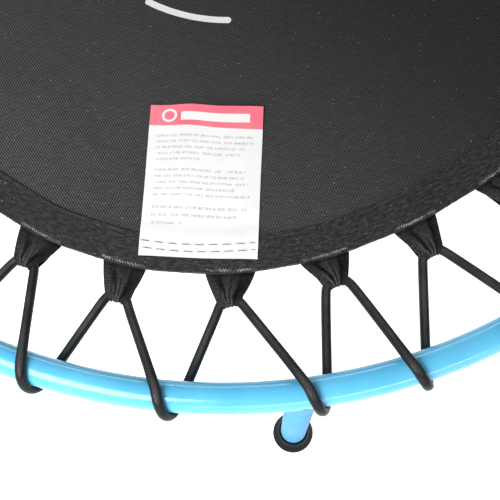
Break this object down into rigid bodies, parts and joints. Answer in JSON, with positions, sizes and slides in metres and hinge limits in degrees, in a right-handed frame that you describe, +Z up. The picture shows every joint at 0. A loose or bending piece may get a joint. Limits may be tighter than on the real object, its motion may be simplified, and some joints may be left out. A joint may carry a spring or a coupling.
{
  "type": "mini trampoline",
  "caption": "Round tube frame on screw-in legs with a woven jumping mat laced to it by one elastic cord through sewn webbing tabs.",
  "frame": {"origin": "on the floor, under the middle of the mat", "axes": "+Z up; leg 1 stands at -Y, and the others follow every 60 degrees anticlockwise seen from above"},
  "size_m": [1.0279, 1.0324, 0.241],
  "materials": {
    "blue_paint": "glossy light-blue powder coat",
    "zinc_steel": "bright zinc plate",
    "black_rubber": "matt moulded rubber",
    "mat_weave": "black woven polypropylene with a fine twill",
    "black_webbing": "black ribbed webbing with grey stitching",
    "cord_sheath": "black braided sheath over elastic, semi-matt",
    "label_cloth": "white satin cloth with a coral header band"
  },
  "bodies": {
    "root": {"frame_ring": "blue_paint", "leg_socket_1": "blue_paint", "leg_socket_2": "blue_paint", "leg_socket_3": "blue_paint", "leg_socket_4": "blue_paint", "leg_socket_5": "blue_paint", "leg_socket_6": "blue_paint", "elastic_cord": "cord_sheath", "cord_clip": "zinc_steel"},
    "mat": {"jump_mat": "mat_weave", "mat_hem": "black_webbing", "sewn_label": "label_cloth", "mat_tab_01": "black_webbing", "mat_tab_02": "black_webbing", "mat_tab_03": "black_webbing", "mat_tab_04": "black_webbing", "mat_tab_05": "black_webbing", "mat_tab_06": "black_webbing", "mat_tab_07": "black_webbing", "mat_tab_08": "black_webbing", "mat_tab_09": "black_webbing", "mat_tab_10": "black_webbing", "mat_tab_11": "black_webbing", "mat_tab_12": "black_webbing", "mat_tab_13": "black_webbing", "mat_tab_14": "black_webbing", "mat_tab_15": "black_webbing", "mat_tab_16": "black_webbing", "mat_tab_17": "black_webbing", "mat_tab_18": "black_webbing", "mat_tab_19": "black_webbing", "mat_tab_20": "black_webbing", "mat_tab_21": "black_webbing", "mat_tab_22": "black_webbing", "mat_tab_23": "black_webbing", "mat_tab_24": "black_webbing", "mat_tab_25": "black_webbing", "mat_tab_26": "black_webbing", "mat_tab_27": "black_webbing", "mat_tab_28": "black_webbing", "mat_tab_29": "black_webbing", "mat_tab_30": "black_webbing"},
    "stud_1": {"leg_stud_1": "zinc_steel"},
    "leg_1": {"leg_tube_1": "blue_paint", "rubber_foot_1": "black_rubber"},
    "stud_2": {"leg_stud_2": "zinc_steel"},
    "leg_2": {"leg_tube_2": "blue_paint", "rubber_foot_2": "black_rubber"},
    "stud_3": {"leg_stud_3": "zinc_steel"},
    "leg_3": {"leg_tube_3": "blue_paint", "rubber_foot_3": "black_rubber"},
    "stud_4": {"leg_stud_4": "zinc_steel"},
    "leg_4": {"leg_tube_4": "blue_paint", "rubber_foot_4": "black_rubber"},
    "stud_5": {"leg_stud_5": "zinc_steel"},
    "leg_5": {"leg_tube_5": "blue_paint", "rubber_foot_5": "black_rubber"},
    "stud_6": {"leg_stud_6": "zinc_steel"},
    "leg_6": {"leg_tube_6": "blue_paint", "rubber_foot_6": "black_rubber"}
  },
  "joints": [
    {"name": "mat_bounce", "type": "slide", "parent": "root", "child": "mat", "axis": [0, 0, 1], "range_m": [-0.09, 0.012], "stiffness_N_per_m": 6000, "deforming": ["elastic_cord"]},
    {"name": "leg_1_travel", "type": "slide", "parent": "root", "child": "stud_1", "axis": [0, 0, 1], "range_m": [-0.016, 0]},
    {"name": "leg_1_turn", "type": "hinge", "parent": "stud_1", "child": "leg_1", "pos_m": [0, -0.4955, 0.177], "axis": [0, 0, -1], "range_deg": [0, 2880]},
    {"name": "leg_2_travel", "type": "slide", "parent": "root", "child": "stud_2", "axis": [0, 0, 1], "range_m": [-0.016, 0]},
    {"name": "leg_2_turn", "type": "hinge", "parent": "stud_2", "child": "leg_2", "pos_m": [0.42912, -0.24775, 0.177], "axis": [0, 0, -1], "range_deg": [0, 2880]},
    {"name": "leg_3_travel", "type": "slide", "parent": "root", "child": "stud_3", "axis": [0, 0, 1], "range_m": [-0.016, 0]},
    {"name": "leg_3_turn", "type": "hinge", "parent": "stud_3", "child": "leg_3", "pos_m": [0.42912, 0.24775, 0.177], "axis": [0, 0, -1], "range_deg": [0, 2880]},
    {"name": "leg_4_travel", "type": "slide", "parent": "root", "child": "stud_4", "axis": [0, 0, 1], "range_m": [-0.016, 0]},
    {"name": "leg_4_turn", "type": "hinge", "parent": "stud_4", "child": "leg_4", "pos_m": [0, 0.4955, 0.177], "axis": [0, 0, -1], "range_deg": [0, 2880]},
    {"name": "leg_5_travel", "type": "slide", "parent": "root", "child": "stud_5", "axis": [0, 0, 1], "range_m": [-0.016, 0]},
    {"name": "leg_5_turn", "type": "hinge", "parent": "stud_5", "child": "leg_5", "pos_m": [-0.42912, 0.24775, 0.177], "axis": [0, 0, -1], "range_deg": [0, 2880]},
    {"name": "leg_6_travel", "type": "slide", "parent": "root", "child": "stud_6", "axis": [0, 0, 1], "range_m": [-0.016, 0]},
    {"name": "leg_6_turn", "type": "hinge", "parent": "stud_6", "child": "leg_6", "pos_m": [-0.42912, -0.24775, 0.177], "axis": [0, 0, -1], "range_deg": [0, 2880]}
  ],
  "couplings": [
    {"joint": "leg_1_turn", "follows": "leg_1_travel", "rad_per_m": -3141.6},
    {"joint": "leg_2_turn", "follows": "leg_2_travel", "rad_per_m": -3141.6},
    {"joint": "leg_3_turn", "follows": "leg_3_travel", "rad_per_m": -3141.6},
    {"joint": "leg_4_turn", "follows": "leg_4_travel", "rad_per_m": -3141.6},
    {"joint": "leg_5_turn", "follows": "leg_5_travel", "rad_per_m": -3141.6},
    {"joint": "leg_6_turn", "follows": "leg_6_travel", "rad_per_m": -3141.6}
  ]
}
